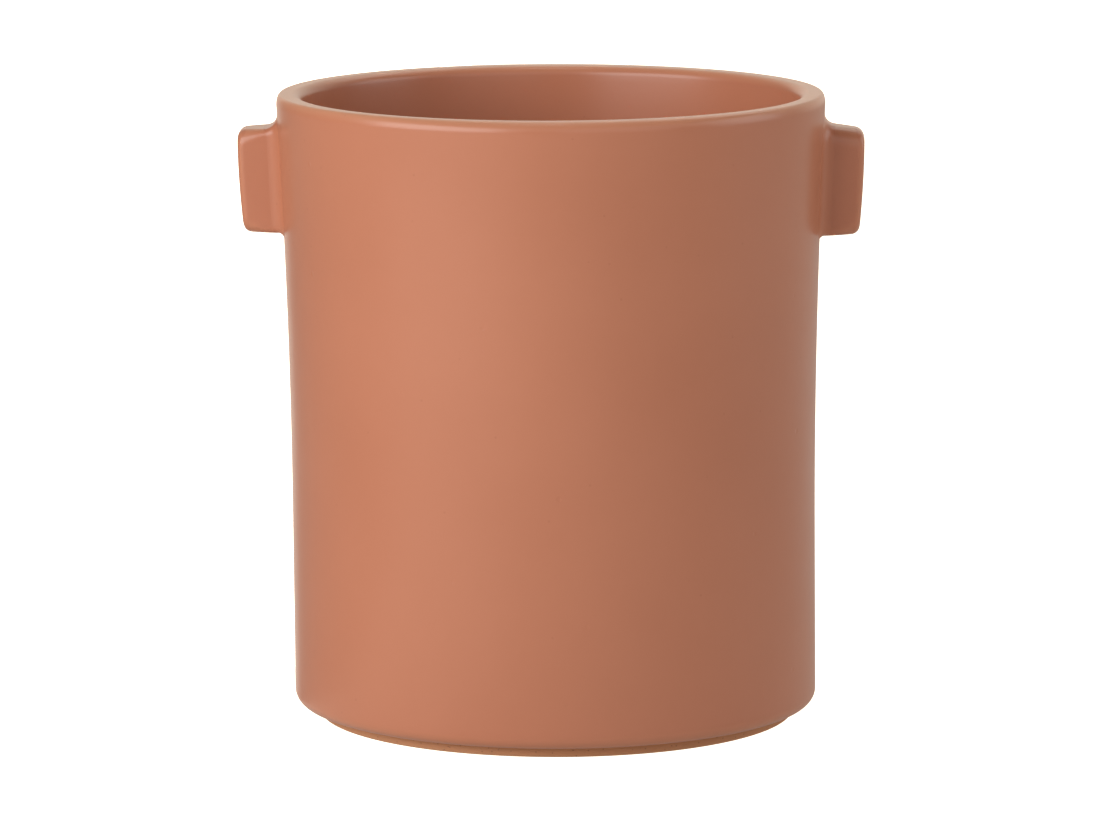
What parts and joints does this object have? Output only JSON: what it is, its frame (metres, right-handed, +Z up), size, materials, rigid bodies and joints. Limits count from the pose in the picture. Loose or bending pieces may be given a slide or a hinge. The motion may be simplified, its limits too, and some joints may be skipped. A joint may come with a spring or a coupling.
{
  "type": "cachepot",
  "caption": "Round stoneware cachepot with a slightly flared mouth, a rounded flat rim, solid block lugs at the sides and a low inset foot ring; hides a nursery pot.",
  "frame": {"origin": "centre of the foot's sole, on the surface that the pot stands on", "axes": "+Z up along the pot's axis; the lugs point along +X and -X; -Y faces the viewer of the picture"},
  "size_m": [0.1598, 0.1396, 0.16],
  "materials": {
    "glazed_stoneware": "satin-matt terracotta glaze",
    "bare_stoneware": "unglazed fired clay, wiped smooth"
  },
  "bodies": {
    "root": {"pot_body": "glazed_stoneware", "foot_ring": "bare_stoneware", "right_lug": "glazed_stoneware", "right_lug_slip": "glazed_stoneware", "left_lug": "glazed_stoneware", "left_lug_slip": "glazed_stoneware"}
  },
  "joints": []
}
